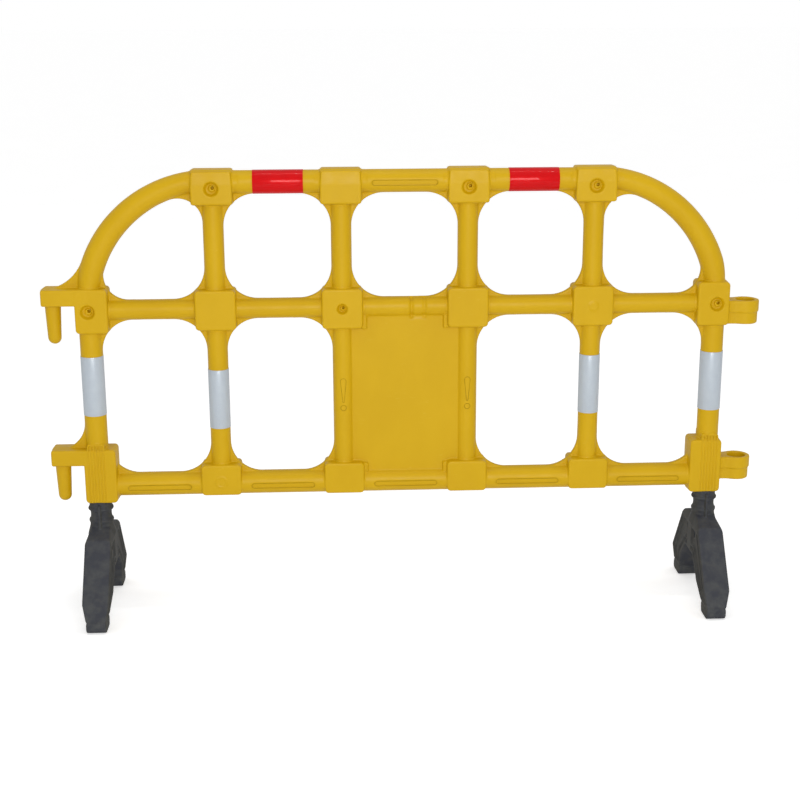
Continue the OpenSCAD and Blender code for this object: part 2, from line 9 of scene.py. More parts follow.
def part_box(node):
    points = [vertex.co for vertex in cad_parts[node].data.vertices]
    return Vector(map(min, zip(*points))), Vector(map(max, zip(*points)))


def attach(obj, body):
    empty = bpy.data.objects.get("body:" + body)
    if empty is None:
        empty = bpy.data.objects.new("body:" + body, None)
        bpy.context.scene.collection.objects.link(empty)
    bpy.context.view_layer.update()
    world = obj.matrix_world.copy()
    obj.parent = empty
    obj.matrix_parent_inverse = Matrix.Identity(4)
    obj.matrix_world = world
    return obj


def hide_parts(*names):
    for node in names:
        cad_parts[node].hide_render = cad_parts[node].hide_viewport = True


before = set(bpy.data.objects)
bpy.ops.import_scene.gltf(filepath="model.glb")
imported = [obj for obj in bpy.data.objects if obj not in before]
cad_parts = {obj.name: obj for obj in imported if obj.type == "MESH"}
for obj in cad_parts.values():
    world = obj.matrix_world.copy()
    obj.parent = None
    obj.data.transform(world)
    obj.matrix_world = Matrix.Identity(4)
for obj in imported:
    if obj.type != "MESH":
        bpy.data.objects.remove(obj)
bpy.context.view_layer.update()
print("frame loaded:", len(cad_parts), "nodes")

# Everything is worked out in millimetres and turned to metres when a mesh is made.
mm = 0.001


def nodeSpan(name):
    low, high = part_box(name)
    return np.array(low) / mm, np.array(high) / mm


def nodeMiddle(name):
    low, high = nodeSpan(name)
    return (low + high) / 2


def nodeSize(name):
    low, high = nodeSpan(name)
    return high - low


# Driving dimensions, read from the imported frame
postX = [nodeMiddle("lower_post_%d" % i)[0] for i in range(1, 7)]
pitch = postX[1] - postX[0]
topZ = nodeMiddle("top_rail_centre")[2]
midZ = nodeMiddle("mid_rail_2")[2]
bottomZ = nodeMiddle("bottom_rail_2")[2]
topR = nodeSize("top_rail_centre")[2] / 2
midR = nodeSize("mid_rail_2")[2] / 2
bottomR = nodeSize("bottom_rail_2")[2] / 2
innerR = nodeSize("lower_post_2")[0] / 2
endR = nodeSize("lower_post_1")[0] / 2
knuckleDepth = nodeSize("mid_knuckle_1")[1]
cornerR = nodeSize("mid_knuckle_1")[0] / 2 - innerR
standH = nodeSpan("foot_socket_right")[0][2]
hookLow, hookHigh = nodeSpan("upper_hook")
lowerHookHigh = nodeSpan("lower_hook")[1]
eyeLow, eyeHigh = nodeSpan("upper_eye")


def hexColour(code):
    # sRGB hex to the linear values that the shaders work in
    parts = [int(code[i:i + 2], 16) / 255 for i in (1, 3, 5)]
    return [c / 12.92 if c <= 0.04045 else ((c + 0.055) / 1.055) ** 2.4 for c in parts] + [1.0]


def newNode(tree, kind, inputs=None, **settings):
    # settings are the node's own properties; an input is a value or another node's output
    made = tree.nodes.new(kind)
    for key, value in settings.items():
        setattr(made, key, value)
    for key, value in (inputs or {}).items():
        if isinstance(value, bpy.types.NodeSocket):
            tree.links.new(value, made.inputs[key])
        else:
            made.inputs[key].default_value = value
    return made


def addNode(tree, kind, inputs=None, output=0, **settings):
    return newNode(tree, kind, inputs, **settings).outputs[output]


def maths(tree, operation, *terms):
    return addNode(tree, "ShaderNodeMath", dict(enumerate(terms)), operation=operation)


def newMaterial(name, **shaderValues):
    material = bpy.data.materials.new(name)
    material.use_nodes = True
    tree = material.node_tree
    tree.nodes.clear()
    values = {key.replace("_", " "): value for key, value in shaderValues.items()}
    shader = newNode(tree, "ShaderNodeBsdfPrincipled", values)
    newNode(tree, "ShaderNodeOutputMaterial", {"Surface": shader.outputs["BSDF"]})
    return material, tree, shader, addNode(tree, "ShaderNodeTexCoord", output="Object")


def ramp(tree, source, *stops):
    # stops are (position, colour) pairs
    made = newNode(tree, "ShaderNodeValToRGB", {"Fac": source})
    elements = made.color_ramp.elements
    for i, (position, colour) in enumerate(stops):
        element = elements[i] if i < 2 else elements.new(position)
        element.position = position
        element.color = hexColour(colour)
    return made.outputs["Color"]


def newObject(name, data):
    made = bpy.data.objects.new(name, data)
    bpy.context.scene.collection.objects.link(made)
    return made


# The moulding and the feet are soft-edged forms that run into each other. Each one is
# described as distances to simple shapes, blended, and then given a skin.

def softMin(a, b, blend):
    # blend is the width of the fillet between the two, and may change from place to place
    blend = np.maximum(blend, 0.01)
    h = np.clip(0.5 + 0.5 * (b - a) / blend, 0, 1)
    return b * (1 - h) + a * h - blend * h * (1 - h)


def softMax(a, b, blend):
    return -softMin(-a, -b, blend)


def smoothStep(value, start, end):
    t = np.clip((value - start) / (end - start), 0, 1)
    return t * t * (3 - 2 * t)


def cornerDistance(a, b):
    # from the distances to two sides, the distance to the corner between them
    return np.hypot(np.maximum(a, 0), np.maximum(b, 0)) + np.minimum(np.maximum(a, b), 0)


def roundedRect(x, z, x0, x1, z0, z1, cornerRadius):
    # distance to a rounded rectangle seen from the front
    qx = np.abs(x - (x0 + x1) / 2) - (x1 - x0) / 2 + cornerRadius
    qz = np.abs(z - (z0 + z1) / 2) - (z1 - z0) / 2 + cornerRadius
    return cornerDistance(qx, qz) - cornerRadius


def thicken(flat, across, half, edgeRadius, draft=0.0):
    # a flat outline given a thickness, with its edges rounded and its sides drafted
    sides = flat + edgeRadius + draft * np.abs(across)
    return cornerDistance(sides, np.abs(across) - half + edgeRadius) - edgeRadius


def rod(along, out, low, high, radius):
    # distance to a round bar with flat ends
    return np.maximum(out - radius, np.abs(along - (low + high) / 2) - (high - low) / 2)


def polygonDistance(u, v, points):
    # signed distance to a closed outline, negative inside
    best = np.full(np.broadcast(u, v).shape, 1e9)
    inside = np.zeros(best.shape, bool)
    for (ax, ay), (bx, by) in zip(points, points[1:] + points[:1]):
        ex, ey = bx - ax, by - ay
        t = np.clip(((u - ax) * ex + (v - ay) * ey) / (ex * ex + ey * ey), 0, 1)
        best = np.minimum(best, (u - ax - t * ex) ** 2 + (v - ay - t * ey) ** 2)
        if ey != 0:
            crosses = (ay > v) != (by > v)
            inside ^= crosses & (u < ax + ex * (v - ay) / ey)
    return np.where(inside, -1, 1) * np.sqrt(best)


class Field:
    margin = 10   # how far round a shape its blend is worked out

    def __init__(self, low, high, step):
        self.step = step
        self.axes = [np.arange(math.floor(low[a] / step) - 2, math.ceil(high[a] / step) + 3)
                     * float(step) for a in range(3)]
        self.values = np.full([len(axis) for axis in self.axes], 60, np.float32)   # far from everything

    def window(self, low, high, margin):
        cuts = tuple(slice(int(np.searchsorted(axis, low[a] - margin)),
                           int(np.searchsorted(axis, high[a] + margin)))
                     for a, axis in enumerate(self.axes))
        x, y, z = (axis[cut] for axis, cut in zip(self.axes, cuts))
        return cuts, x[:, None, None], y[None, :, None], z[None, None, :]

    def add(self, low, high, shape, blend=0.0):
        cuts, x, y, z = self.window(low, high, self.margin + blend)
        self.values[cuts] = softMin(self.values[cuts], shape(x, y, z), blend)

    def cut(self, low, high, shape, blend=0.0):
        cuts, x, y, z = self.window(low, high, self.margin + blend)
        self.values[cuts] = softMax(self.values[cuts], -shape(x, y, z), blend)

    def press(self, low, high, depth):
        # depth(x, y, z) is how far the surface sinks there; negative stands proud
        cuts, x, y, z = self.window(low, high, self.margin)
        self.values[cuts] += depth(x, y, z).astype(np.float32)

    def soften(self):
        # eases every edge by about one step
        v = self.values
        for a in range(3):
            ahead, behind = np.roll(v, -1, a), np.roll(v, 1, a)
            v = 0.5 * v + 0.25 * (ahead + behind)
        self.values = v

    def sample(self, points):
        # value between the grid's points
        index = [(points[:, a] - self.axes[a][0]) / self.step for a in range(3)]
        whole = [np.clip(np.floor(i).astype(int), 0, self.values.shape[a] - 2)
                 for a, i in enumerate(index)]
        part = [i - w for i, w in zip(index, whole)]
        total = np.zeros(len(points))
        for corner in range(8):
            bits = [(corner >> a) & 1 for a in range(3)]
            weight = np.ones(len(points))
            for a in range(3):
                weight *= part[a] if bits[a] else 1 - part[a]
            total += weight * self.values[whole[0] + bits[0], whole[1] + bits[1], whole[2] + bits[2]]
        return total

    def slope(self, points):
        reach = self.step * 0.6
        columns = []
        for a in range(3):
            shift = np.zeros(3)
            shift[a] = reach
            columns.append((self.sample(points + shift) - self.sample(points - shift)) / (2 * reach))
        return np.stack(columns, 1)

    def skin(self):
        # one point in each cell that the surface crosses, one quad for each crossed edge
        solid = self.values < 0
        count = np.zeros([n - 1 for n in solid.shape], np.int8)
        for corner in range(8):
            cuts = tuple(slice((corner >> a) & 1, solid.shape[a] - 1 + ((corner >> a) & 1))
                         for a in range(3))
            count += solid[cuts]
        cells = np.argwhere((count > 0) & (count < 8))
        number = np.full(count.shape, -1, np.int32)
        number[tuple(cells.T)] = np.arange(len(cells))
        points, hits = np.zeros((len(cells), 3)), np.zeros(len(cells))
        for a in range(3):
            b, c = (a + 1) % 3, (a + 2) % 3
            for side in range(4):
                start = cells.copy()
                start[:, b] += side & 1
                start[:, c] += side >> 1
                end = start.copy()
                end[:, a] += 1
                v0, v1 = self.values[tuple(start.T)], self.values[tuple(end.T)]
                crossed = (v0 < 0) != (v1 < 0)
                t = np.where(crossed, v0 / np.where(crossed, v0 - v1, 1), 0)
                place = start.astype(float)
                place[:, a] += t
                points += place * crossed[:, None]
                hits += crossed
        points = points / hits[:, None] * self.step + np.array([axis[0] for axis in self.axes])
        quads = []
        for a in range(3):
            b, c = (a + 1) % 3, (a + 2) % 3
            near = [slice(1, -1)] * 3
            far = [slice(1, -1)] * 3
            near[a], far[a] = slice(0, -1), slice(1, None)
            first, second = solid[tuple(near)], solid[tuple(far)]
            for outward in (True, False):
                found = np.argwhere(first & ~second if outward else second & ~first)
                found[:, b] += 1
                found[:, c] += 1
                ring = []
                for db, dc in ((-1, -1), (0, -1), (0, 0), (-1, 0)):
                    cell = found.copy()
                    cell[:, b] += db
                    cell[:, c] += dc
                    ring.append(number[tuple(cell.T)])
                quads.append(np.stack(ring if outward else ring[::-1], 1))
        quads = np.concatenate(quads)
        for _ in range(3):
            slope = self.slope(points)
            steepness = np.maximum((slope ** 2).sum(1), 0.05)
            move = slope * (self.sample(points) / steepness)[:, None]
            points -= np.clip(move, -self.step * 0.5, self.step * 0.5)
        slope = self.slope(points)
        normals = slope / np.maximum(np.linalg.norm(slope, axis=1), 1e-6)[:, None]
        return points, quads, normals, cells


def skinObject(name, points, quads, normals, material):
    # a closed mesh of quads whose shading follows the field's own slope
    used = np.unique(quads)
    renumber = np.full(len(points), -1)
    renumber[used] = np.arange(len(used))
    mesh = bpy.data.meshes.new(name)
    mesh.vertices.add(len(used))
    mesh.vertices.foreach_set("co", (points[used] * mm).astype(np.float32).ravel())
    mesh.loops.add(quads.size)
    mesh.loops.foreach_set("vertex_index", renumber[quads].astype(np.int32).ravel())
    mesh.polygons.add(len(quads))
    mesh.polygons.foreach_set("loop_start", np.arange(0, quads.size, 4, dtype=np.int32))
    mesh.update(calc_edges=True)
    closer = bmesh.new()
    closer.from_mesh(mesh)
    openEdges = [edge for edge in closer.edges if edge.is_boundary]
    bmesh.ops.holes_fill(closer, edges=openEdges, sides=0)
    closer.to_mesh(mesh)
    closer.free()
    mesh.polygons.foreach_set("use_smooth", np.ones(len(mesh.polygons), bool))
    mesh.materials.append(material)
    mesh.normals_split_custom_set_from_vertices(normals[used].astype(np.float32))
    return newObject(name, mesh)


# Lengths in pairs marked "about" reach below and above the axis of the rail that is named.
shell = {
    "gridStep": 2.0,
    "knuckleWidth": 86,
    "topKnuckle": (-45, 27),  # about the top rail
    "midKnuckle": (-42.5, 42.5),  # about the mid rail
    "bottomKnuckle": (-22.5, 46),  # about the bottom rail
    "endBlock": (-46, 48),  # about the mid rail
    "endSides": (42, 27),  # inwards and outwards from the end upright
    "socket": (-35, 84),  # about the bottom rail
    "socketNeck": (-14, 13),  # about the socket block's top
    "socketNeckHalf": (19, 2.5),  # half its width, and how far its faces stand back
    "socketBore": (24.3, 90),  # radius and depth
    "topCorner": 6,  # corner radii of the blocks seen from the front
    "cornerRadius": 9,
    "hookCorner": 5,
    "smallCorner": 4,
    "edgeRadius": 3.0,
    "draft": 0.035,
    "tubeBlend": 3.0,
    "panelCorner": (8.5, 17, 46, 43),  # width, half depth, reach below the mid and above the bottom rail
    "lean": (30, 0.11),  # height of the part of the top knuckle that leans, and its slope
    "webHalf": 6.0,
    "webEdge": 2.5,
    "webBlend": 3.5,
    "webFade": (0.5, 9),  # from the free edge, where the fillet starts and is full
    "overrun": 14,  # how far a web's outline runs on inside its tubes
    "shoulderAxis": (pitch, 4.0),  # radius of the bend, and how much wider it swings half way
    "shoulderSwing": (10, 100),  # heights above the mid rail where that starts and is full
    "shoulderTube": (21.3, 3.5),  # radius at the top rail, and how much it grows on the way down
    "shoulderSides": (243, 290.5),  # the bend's inner and outer sides where the webs meet it
    "shoulderCorner": 50,
    "socketCorner": 67,
    "socketWeb": (-8, -4, 24),  # starts this far past the block's side and the rail, and its radius
    "gussetRadius": (94, 60),  # of the upper and the lower fin
    "gussetRise": (90, 55),  # of its centre above the upper and the lower arm
    "gussetRoot": 8,
    "armHeight": 36,
    "pegInset": 21,
    "pegRadius": (16.4, 13.6),  # at the arm and at the round tip
    "eyeWall": 9.5,
    "eyeNeck": (22, 10),  # half width, and how far it runs into the end upright
    "eyeStep": 2.2,  # the lower half is this much slimmer
    "blowPoint": (15.5, 9.0),  # radius and depth
    "blowPointDrop": 11.6375,  # below the top rail's axis
    "blowPointBoss": (0.12, 0.08, 0.44),  # offsets and radius, in dish radii
    "grooveSize": (67, 5.5),  # half the length and half the height
    "grooveDrop": (-3, -2),  # from the axis of the bottom rail and of the top rail
    "grooveDepth": 2.0,
    "saddle": ((13, 4.5), (41, 3.0)),  # where its two creases lie and how deep they are
    "saddleDip": 1.2,
    "partingLine": (0.45, 2.2),  # height and half width
}


def about(z, key):
    return z + shell[key][0], z + shell[key][1]


def tubeX(field, x0, x1, z, radius):
    field.add((x0, -radius, z - radius), (x1, radius, z + radius),
              lambda x, y, w: rod(x, np.hypot(y, w - z), x0, x1, radius))


def tubeZ(field, x, z0, z1, radius):
    field.add((x - radius, -radius, z0), (x + radius, radius, z1),
              lambda u, y, w: rod(w, np.hypot(u - x, y), z0, z1, radius))


def shoulderArc(field, side):
    centre = postX[4] * side
    (bend, wider), (tube, growth) = shell["shoulderAxis"], shell["shoulderTube"]

    def shape(x, y, z):
        along, up = (x - centre) * side, z - midZ
        swing, out = smoothStep(up, *shell["shoulderSwing"]), np.hypot(along, up)
        radius = tube + growth * swing * along / np.maximum(out, 1)
        return np.maximum(np.hypot(out - bend - wider * swing, y) - radius, np.maximum(-along, -up))

    reach, half = shell["shoulderSides"][1] + wider, tube + growth
    ends = sorted((centre, centre + side * reach))
    field.add((ends[0], -half, midZ), (ends[1], half, midZ + reach), shape)


def addWeb(field, xs, zs, hollow, box):
    # a flat plate between the tubes, with its free edge eased; hollow is positive in the open window
    half = shell["webHalf"]
    cuts, x, y, z = field.window((xs[0], -half, zs[0]), (xs[1], half, zs[1]), field.margin)
    plate = thicken(np.maximum(hollow(x, z), box(x, z)), y, half, shell["webEdge"])
    # the fillet along the tubes dies out towards the free edge, so that the edge stays true
    blend = shell["webBlend"] * smoothStep(-hollow(x, z), *shell["webFade"])
    field.values[cuts] = softMin(field.values[cuts], plate, blend)


def web(field, x, z, sideX, sideZ, halfX, halfZ, radius):
    # the flat corner between a rail and an upright, with its concave free edge
    wide, tall, over = halfX + radius, halfZ + radius, shell["overrun"]

    def hollow(u, w):
        along, up = (u - x) * sideX - wide, (w - z) * sideZ - tall
        return radius - np.hypot(np.minimum(along, 0), np.minimum(up, 0))

    def box(u, w):
        along, up = (u - x) * sideX, (w - z) * sideZ
        return np.maximum(np.maximum(-along, along - wide - over), np.maximum(-up, up - tall - over))

    addWeb(field, sorted((x, x + sideX * (wide + over))), sorted((z, z + sideZ * (tall + over))), hollow, box)


def shoulderWeb(field, side, atTop):
    # the corner between a shoulder's inner side and the straight tube that it meets
    centre, radius, over = postX[4] * side, shell["shoulderCorner"], shell["overrun"]
    near = (innerR if atTop else midR) + radius
    reach = shell["shoulderSides"][0] - radius
    far = math.sqrt(reach ** 2 - near ** 2)

    def turned(x, z):
        # u is measured from the straight tube, w along it towards the shoulder
        along, up = (x - centre) * side, z - midZ
        return (along, up) if atTop else (up, along)

    def hollow(x, z):
        u, w = turned(x, z)
        du, dw = u - near, w - far
        corner = (dw > 0) & (near * dw - far * du > 0)
        return radius - np.where(corner, np.hypot(du, dw), np.maximum(near - u, np.hypot(u, w) - reach))

    def box(x, z):
        u, w = turned(x, z)
        sides = np.maximum(np.maximum(-u, far - over - w), np.hypot(u, w) - pitch)
        return np.maximum(sides, (u * far - w * near) / reach - over)

    addWeb(field, sorted((centre, centre + side * pitch)), (midZ, midZ + pitch), hollow, box)


def gusset(field, upper):
    # the concave fin that runs from the end upright out along a hook's arm
    which = 0 if upper else 1
    radius, over = shell["gussetRadius"][which], shell["overrun"]
    armTop = hookHigh[2] if upper else lowerHookHigh[2]
    root, cz = armTop - shell["gussetRoot"], armTop + shell["gussetRise"][which]
    reach = shell["shoulderSides"][1] + radius
    cx = postX[1] - math.sqrt(reach ** 2 - (cz - midZ) ** 2) if upper else postX[0] - endR - radius

    def hollow(x, z):
        if not upper:
            return radius - np.hypot(np.maximum(x - cx, 0), np.minimum(z - cz, 0))
        outward = np.hypot(x - postX[1], z - midZ)
        corner = (x > cx) & ((x - cx) * (cz - midZ) + (z - cz) * (postX[1] - cx) < 0)
        return radius - np.where(corner, np.hypot(x - cx, z - cz), np.maximum(cz - z, reach - outward))

    def box(x, z):
        return np.maximum(np.maximum(cx - x, x - postX[0]), np.maximum(root - z, z - cz - over))

    addWeb(field, (cx, postX[0]), (root, cz + over), hollow, box)


def block(field, xs, zs, corner=None, half=None, blend=None):
    half = half or knuckleDepth / 2
    corner = corner or shell["cornerRadius"]

    def shape(x, y, z):
        flat = roundedRect(x, z, *xs, *zs, corner)
        return thicken(flat, y, half, shell["edgeRadius"], shell["draft"])

    field.add((xs[0], -half, zs[0]), (xs[1], half, zs[1]), shape, blend or shell["tubeBlend"])


def peg(field, armBottom, tip):
    # a taper with a round tip
    (top, low), axisX = shell["pegRadius"], hookLow[0] + shell["pegInset"]
    length = armBottom - tip - low

    def shape(x, y, z):
        t = np.clip((armBottom - z) / length, 0, 1)
        return np.hypot(np.hypot(x - axisX, y), z - (armBottom - t * length)) - (top + (low - top) * t)

    field.add((axisX - top, -top, tip), (axisX + top, top, armBottom), shape, 2.0)


def eye(field, low, high):
    ringR = (high[1] - low[1]) / 2
    axisX, holeR = high[0] - ringR, ringR - shell["eyeWall"]
    middle, half = (low[2] + high[2]) / 2, (high[2] - low[2]) / 2
    neckHalf, root = shell["eyeNeck"][0], low[0] - shell["eyeNeck"][1]

    def shape(x, y, z):
        ring = np.hypot(x - axisX, y) - ringR
        neck = np.maximum(np.abs(y) - neckHalf, np.maximum(root - x, x - axisX))
        step = shell["eyeStep"] * smoothStep(middle - z, -1.0, 1.0)
        return thicken(softMin(ring, neck, 8) + step, z - middle, half, shell["edgeRadius"])

    field.add((root, -ringR, low[2]), (high[0], ringR, high[2]), shape, 4.0)
    field.cut((axisX - holeR, -holeR, low[2]), (axisX + holeR, holeR, high[2]),
              lambda x, y, z: np.hypot(x - axisX, y) - holeR, 2.5)


def blowPoint(field, x, z, share=1.0):
    # a dished mark with a small pinched boss and its hole, set a little off the middle
    radius, depth = shell["blowPoint"][0] * share, shell["blowPoint"][1]
    front = -knuckleDepth / 2
    bottom = front + depth
    bossX, bossZ, bossR = [radius * part for part in shell["blowPointBoss"]]
    low, high = (x - radius, front, z - radius), (x + radius, bottom + 7, z + radius)

    def dish(u, y, w):
        cone = np.hypot(u - x, w - z) - (radius - 0.5 * (y - front))
        return np.maximum(cone * 0.9, y - bottom)

    def boss(u, y, w):
        return rod(y, np.hypot(u - x - bossX, w - z - bossZ), bottom - 4.5, bottom + 4.5, bossR)

    def hole(u, y, w):
        return np.maximum(np.hypot(u - x - bossX - 1, w - z - bossZ - 1) - bossR / 2, y - bottom - 6)

    field.cut(low, high, dish, 1.2)
    field.add(low, high, boss, 1.5)
    field.cut(low, high, hole, 1.0)


def groove(field, x, z):
    # a long shallow stadium pressed into the front of a rail
    halfLength, halfHeight = shell["grooveSize"]

    def depth(u, y, w):
        along = np.maximum(np.abs(u - x) - halfLength + halfHeight, 0)
        ring = np.hypot(along, w - z) - halfHeight
        return shell["grooveDepth"] * smoothStep(-ring, -0.6, 1.0) * (y < 0)

    field.press((x - halfLength, -bottomR, z - halfHeight), (x + halfLength, 0, z + halfHeight), depth)


def raisedDisc(field, x, z, radius, ring, rise=1.5):
    def depth(u, y, w):
        r = np.hypot(u - x, w - z)
        shape = np.exp(-((r - radius) / 1.8) ** 2) if ring else smoothStep(radius - r, -1.5, 1.5)
        return -rise * shape * (y < 0)

    field.press((x - radius, -knuckleDepth / 2, z - radius), (x + radius, 0, z + radius), depth)


def saddle(field, fade=6, width=3.2):
    # two creases with a dip between them, where the mid rail bridges to the panel
    creases = shell["saddle"]
    first, last = creases[0][0], creases[1][0]

    def depth(x, y, z):
        across = sum(deep * np.exp(-((x - at) / width) ** 2) for at, deep in creases)
        across = across + shell["saddleDip"] * smoothStep(x, first, first + 4) * smoothStep(last - x, 0, 4)
        return across * (y < -2) * np.clip((midR + fade - np.abs(z - midZ)) / fade, 0, 1)

    field.press((first - 8, -midR, midZ - midR), (last + 9, 0, midZ + midR), depth)


def addTubes(field):
    tubeX(field, postX[1], postX[4], topZ, topR)
    tubeX(field, postX[0], postX[5], midZ, midR)
    tubeX(field, postX[0], postX[5], bottomZ, bottomR)
    for x in postX[1:5]:
        tubeZ(field, x, bottomZ, topZ, innerR)
    for x in (postX[0], postX[5]):
        tubeZ(field, x, bottomZ, midZ, endR)
    for side in (-1, 1):
        shoulderArc(field, side)


def addPanel(field):
    # the sign panel, which fills the middle lower bay
    half = nodeSize("sign_panel")[1] / 2
    field.add((postX[2], -half, bottomZ), (postX[3], half, midZ), lambda x, y, z: thicken(
        roundedRect(x, z, postX[2], postX[3], bottomZ, midZ, 1), y, half, 0.5), 1.5)
    # small shoulders in its corners, beside the knuckles
    halfWide, (wide, half, upper, lower) = shell["knuckleWidth"] / 2, shell["panelCorner"]
    for side, x in ((1, postX[2]), (-1, postX[3])):
        xs = sorted((x + side * (halfWide - 4), x + side * (halfWide + wide)))
        for zs in ((midZ - upper, midZ - midR + 6), (bottomZ + bottomR - 6, bottomZ + lower)):
            block(field, xs, zs, shell["smallCorner"], half, 1.5)


def addWebs(field):
    for i in range(1, 5):
        x = postX[i]
        for side in {1: (1,), 4: (-1,)}.get(i, (-1, 1)):
            web(field, x, topZ, side, -1, innerR, topR, cornerR)
        for side in (-1, 1):
            web(field, x, midZ, side, 1, innerR, midR, cornerR)
            if (i, side) not in ((2, 1), (3, -1)):   # the panel's own sides
                web(field, x, midZ, side, -1, innerR, midR, cornerR)
                web(field, x, bottomZ, side, 1, innerR, bottomR, cornerR)
    pastBlock, pastRail, radius = shell["socketWeb"]
    for side, x in ((1, postX[0]), (-1, postX[5])):
        web(field, x, midZ, side, -1, endR, midR, cornerR)
        web(field, x, bottomZ, side, 1, endR, bottomR, shell["socketCorner"])
        web(field, x + side * shell["endSides"][0], bottomZ, side, -1, pastBlock, bottomR + pastRail, radius)
    for side in (-1, 1):
        shoulderWeb(field, side, True)
        shoulderWeb(field, side, False)
    gusset(field, True)
    gusset(field, False)


def addKnuckles(field):
    halfWide = shell["knuckleWidth"] / 2
    for x in postX[1:5]:
        xs = (x - halfWide, x + halfWide)
        block(field, xs, about(topZ, "topKnuckle"), shell["topCorner"])
        block(field, xs, about(midZ, "midKnuckle"))
        block(field, xs, about(bottomZ, "bottomKnuckle"))
    inward, outward = shell["endSides"]
    half, back = shell["socketNeckHalf"]
    for side, x in ((1, postX[0]), (-1, postX[5])):
        xs, socket = sorted((x + side * inward, x - side * outward)), about(bottomZ, "socket")
        block(field, xs, about(midZ, "endBlock"))
        block(field, xs, socket)
        block(field, (x - half, x + half), about(socket[1], "socketNeck"), shell["hookCorner"],
              knuckleDepth / 2 - back, 1.5)
    # the upper part of each top knuckle leans back from a crease
    height, slope = shell["lean"]
    start = topZ + shell["topKnuckle"][1] - height
    for at in postX[1:5]:
        field.press((at - halfWide, -knuckleDepth / 2, start), (at + halfWide, 0, start + height + 10),
                    lambda x, y, z: slope * np.maximum(z - start, 0) * smoothStep(-y, 15, 22))


def addLinks(field):
    # hooks at the left end, eyes at the right
    for top in (hookHigh[2], lowerHookHigh[2]):
        armBottom = top - shell["armHeight"]
        block(field, (hookLow[0], postX[0]), (armBottom, top), shell["hookCorner"], None, 1.0)
        peg(field, armBottom, top - (hookHigh[2] - hookLow[2]))
    eye(field, eyeLow, eyeHigh)
    eye(field, *nodeSpan("lower_eye"))


def addMarks(field):
    blowZ = topZ - shell["blowPointDrop"]
    for i, z in ((1, blowZ), (3, blowZ), (4, blowZ), (0, midZ), (5, midZ), (2, midZ)):
        blowPoint(field, postX[i], z, 0.75 if i == 2 else 1.0)   # the one beside the panel is small
    for i in range(5):
        groove(field, (postX[i] + postX[i + 1]) / 2, bottomZ + shell["grooveDrop"][0])
    groove(field, 0, topZ + shell["grooveDrop"][1])
    raisedDisc(field, postX[4], midZ, 10, False)
    raisedDisc(field, postX[1], bottomZ + 8, 11, True)
    saddle(field)


def buildMoulding():
    low = (hookLow[0] - 4, -knuckleDepth / 2 - 4, standH - 4)
    high = (eyeHigh[0] + 4, knuckleDepth / 2 + 4, topZ + shell["topKnuckle"][1] + 4)
    field = Field(low, high, shell["gridStep"])
    for stage in (addTubes, addPanel, addWebs, addKnuckles, addLinks):
        stage(field)
    # the parting line of the two mould halves
    rise, half = shell["partingLine"]
    field.press(low, high, lambda x, y, z: -rise * np.clip(1 - np.abs(y) / half, 0, 1))
    addMarks(field)
    # the bore that takes each foot's spigot
    radius, depth = shell["socketBore"]
    for at in (postX[0], postX[5]):
        field.cut((at - radius, -radius, standH - 8), (at + radius, radius, standH + depth),
                  lambda x, y, z: np.maximum(np.hypot(x - at, y) - radius, z - standH - depth), 1.5)
    return field


foot = {
    "gridStep": 1.7,
    "soleWidth": 43,
    "soleLength": 48,
    "soleHeight": 24,
    "crownTop": 40,
    "crownDrop": 14,
    "crownLength": 132,
    "neckLength": 55,
    "legThickness": 58,
    "edgeRadius": 3,
    "spigotRadius": 24,
    "spigotLength": 89.7,
    # heights above the crown, and radii past the spigot's, up through both rings
    "neckProfile": ((-20, 6), (0, 0.5), (7, 0), (9.5, 2.2), (14.5, 2.2), (17, -1), (25, -2), (34, -1.4),
                    (35.5, 3), (40.5, 3), (43, 0)),
    "rim": 7.0,  # width of the raised band along the leg's edges
    "band": 10,  # width of the groove inside it
    "slope": 2.5,  # how fast the grooves reach their depth
    "grooveDepth": 4.5,
    "fin": (2.7, 31),  # half thickness and reach
    "hole": (28, 39),  # of the cored holes, out from the axis and down from the crown
    "holeSize": (5.5, 10),  # half width and half height
    "soleLine": 1.8,  # depth and half width of the line over the sole block
}


def footOutlines():
    half, crown = nodeSize("left_foot")[1] / 2, foot["crownLength"] / 2
    top, sole, thick = standH - foot["neckLength"], foot["soleHeight"], foot["legThickness"]
    shoulder = top - foot["crownDrop"]
    arch, knee = half - foot["soleLength"], shoulder - thick * 1.8
    outer = [(half - 6, 0), (half, 6), (half, sole), (half - 6, top / 3), (crown, shoulder), (24, top)]
    inner = [(crown / 2, top - thick * 1.5), (crown, knee), (arch - sole / 4, sole), (arch, 0)]
    side = outer + [(-y, z) for y, z in outer[::-1]] + [(-y, z) for y, z in inner[::-1]] + inner
    wide, narrow, crownHalf = nodeSize("left_foot")[0] / 2, foot["soleWidth"] / 2, foot["crownTop"] / 2
    edge = [(narrow, 0), (narrow, sole), (wide, top / 3), (wide, shoulder - wide + crownHalf),
            (crownHalf, top)]
    return side, edge + [(-x, z) for x, z in edge[::-1]]


def neckRadius(z):
    # the turned profile ends in the spigot's chamfer
    top, r, end = standH - foot["neckLength"], foot["spigotRadius"], standH + foot["spigotLength"]
    heights, radii = zip(*[(top + up, r + out) for up, out in foot["neckProfile"]])
    return np.interp(z, heights + (end - 6, end), radii + (r, r * 0.75))


